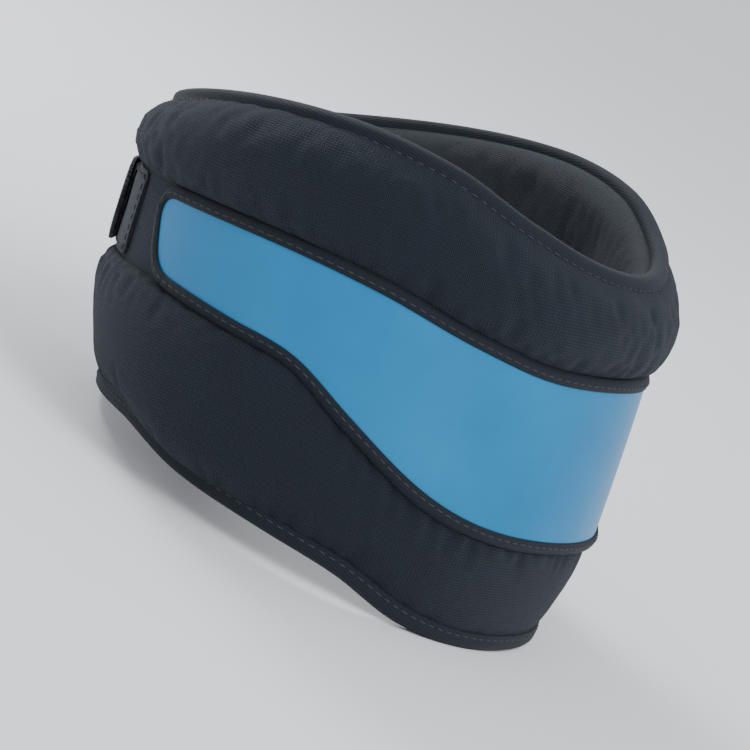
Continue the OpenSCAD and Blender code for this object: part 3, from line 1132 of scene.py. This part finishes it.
def build_label():
    """Blank care label, sewn to the left lining."""
    _, (a_from, a_to), (z_low, z_high) = LABEL_BOX
    psi = np.linspace(a_from, a_to, 30)
    label = band("care_label_tag", NECK_R - 0.02, NECK_R - 0.4, psi, z_low, z_high, LABEL, edge=-0.15)
    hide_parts("care_label")
    bend(label)
    box = seam_box(a_from + 1, a_to - 1, z_low + 1.2, z_high - 1.2, NECK_R - 0.4)
    bend(sewn("label_stitches", [box], "care_label"))


build_strap()
build_hook()
build_loop()
build_label()


# -------- camera, floor and light

PHOTO_AZIMUTH = -65.0
PHOTO_ELEVATION = 8.0
PHOTO_ROLL = 18.0
LENS = 190.0
FILL = 0.83
FLOOR_HALF = 20.0
FLOOR_GAP = 0.0002
WORLD_COLOUR = (0.93, 0.95, 1.0, 1)
WORLD_STRENGTH = 0.94


def place_camera():
    """Camera at the photo's angle to the ring, with the ring's axis leaning right by PHOTO_ROLL."""
    a, e, roll = (math.radians(x) for x in (PHOTO_AZIMUTH, PHOTO_ELEVATION, PHOTO_ROLL))
    back = ACROSS * math.sin(a) * math.cos(e) - BACK * math.cos(a) * math.cos(e) + AXIS * math.sin(e)
    up = AXIS - (AXIS @ back) * back
    up /= np.linalg.norm(up)
    right = np.cross(up, back)
    camera_up = math.cos(roll) * up - math.sin(roll) * right
    camera_right = math.cos(roll) * right + math.sin(roll) * up
    data = bpy.data.cameras.new("camera")
    data.lens = LENS
    body = np.concatenate([
        np.array([v.co for v in frame["nodes"][n].data.vertices])
        for n in ("outer_cover_front", "outer_cover_left", "outer_cover_right")
    ])
    across, over = body @ camera_right, body @ camera_up
    middle = (camera_right * (across.min() + across.max()) / 2
              + camera_up * (over.min() + over.max()) / 2
              + back * (np.mean(cad_box, axis=0) @ back))
    size = max(np.ptp(across), np.ptp(over))
    distance = size / FILL * LENS / data.sensor_width
    camera = bpy.data.objects.new("camera", data)
    rotation = Matrix(np.stack([camera_right, camera_up, back], 1).tolist()).to_4x4()
    camera.matrix_world = Matrix.Translation(Vector(middle + back * distance)) @ rotation
    bpy.context.scene.collection.objects.link(camera)
    bpy.context.scene.camera = camera


def floor():
    """Large pale floor, faintly uneven in tone."""
    material, tree, bsdf = blank("floor", Roughness=0.85, Specular_IOR_Level=0.15)
    where = add(tree, "ShaderNodeNewGeometry").outputs["Position"]
    tone = noise(tree, where, 400, 2)
    colour = mix_colour(tree, tone, (0.74, 0.75, 0.77, 1), (0.78, 0.785, 0.8, 1))
    tree.links.new(colour, bsdf.inputs["Base Color"])
    mesh = bpy.data.meshes.new("floor")
    corners = [(x * FLOOR_HALF, y * FLOOR_HALF, 0) for x, y in ((-1, -1), (1, -1), (1, 1), (-1, 1))]
    mesh.from_pydata(corners, [], [(0, 1, 2, 3)])
    mesh.materials.append(material)
    obj = bpy.data.objects.new("floor", mesh)
    obj.location.z = -FLOOR_GAP
    bpy.context.scene.collection.objects.link(obj)


def hang(data, azimuth, elevation, distance=0.0, middle=(0, 0, 0)):
    """Puts a light at an azimuth and elevation from the middle, facing it."""
    a, e = math.radians(azimuth), math.radians(elevation)
    back = Vector((math.sin(a) * math.cos(e), -math.cos(a) * math.cos(e), math.sin(e)))
    light = bpy.data.objects.new(data.name, data)
    light.location = Vector(middle) + back * distance
    light.rotation_mode = "QUATERNION"
    light.rotation_quaternion = (-back).to_track_quat("-Z", "Y")
    bpy.context.scene.collection.objects.link(light)


def area_light(name, azimuth, elevation, distance, size, power, colour=(1, 1, 1)):
    """Soft light aimed at the object's middle."""
    data = bpy.data.lights.new(name, "AREA")
    data.shape = "DISK"
    data.size = size
    data.energy = power
    data.color = colour
    hang(data, azimuth, elevation, distance, np.mean(cad_box, axis=0))


def sun(azimuth, elevation, softness, strength):
    """Even light over the whole floor, from one direction."""
    data = bpy.data.lights.new("sun", "SUN")
    data.angle = math.radians(softness)
    data.energy = strength
    hang(data, azimuth, elevation)


def world():
    """Pale even surroundings."""
    made = bpy.data.worlds.new("studio")
    made.use_nodes = True
    shader = made.node_tree.nodes["Background"]
    shader.inputs["Color"].default_value = WORLD_COLOUR
    shader.inputs["Strength"].default_value = WORLD_STRENGTH
    bpy.context.scene.world = made


place_camera()
floor()
sun(-20, 52, 30, 1.15)
area_light("key", -35, 35, 0.9, 0.35, 3.0, (1.0, 0.98, 0.95))
area_light("rim", 165, 38, 0.9, 0.35, 6.0)
world()
